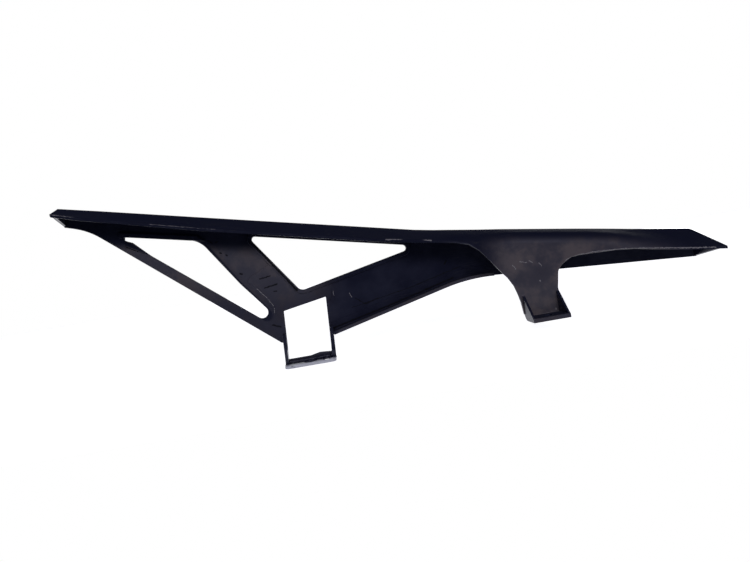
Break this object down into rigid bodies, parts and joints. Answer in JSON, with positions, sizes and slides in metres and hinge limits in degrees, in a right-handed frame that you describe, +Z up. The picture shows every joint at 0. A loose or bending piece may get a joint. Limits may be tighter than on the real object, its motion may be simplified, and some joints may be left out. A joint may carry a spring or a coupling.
{
  "type": "motorcycle chain guard",
  "caption": "Moulded black plastic guard for a drive chain: a sloped top rail with closed ends, an open triangulated side plate, a hanging front foot and a rectangular rear bracket.",
  "frame": {"origin": "centre of the rear mounting hole, on the underside of the rear bracket's shelf", "axes": "+X forward along the guard in the mounting plane, +Z up along the rear mounting hole, +Y towards the outer side of the motorcycle"},
  "size_m": [0.5265, 0.0505, 0.1623],
  "materials": {
    "black_plastic": "satin, fine moulded grain, scuffed"
  },
  "bodies": {
    "root": {"chain_guard": "black_plastic"}
  },
  "joints": []
}
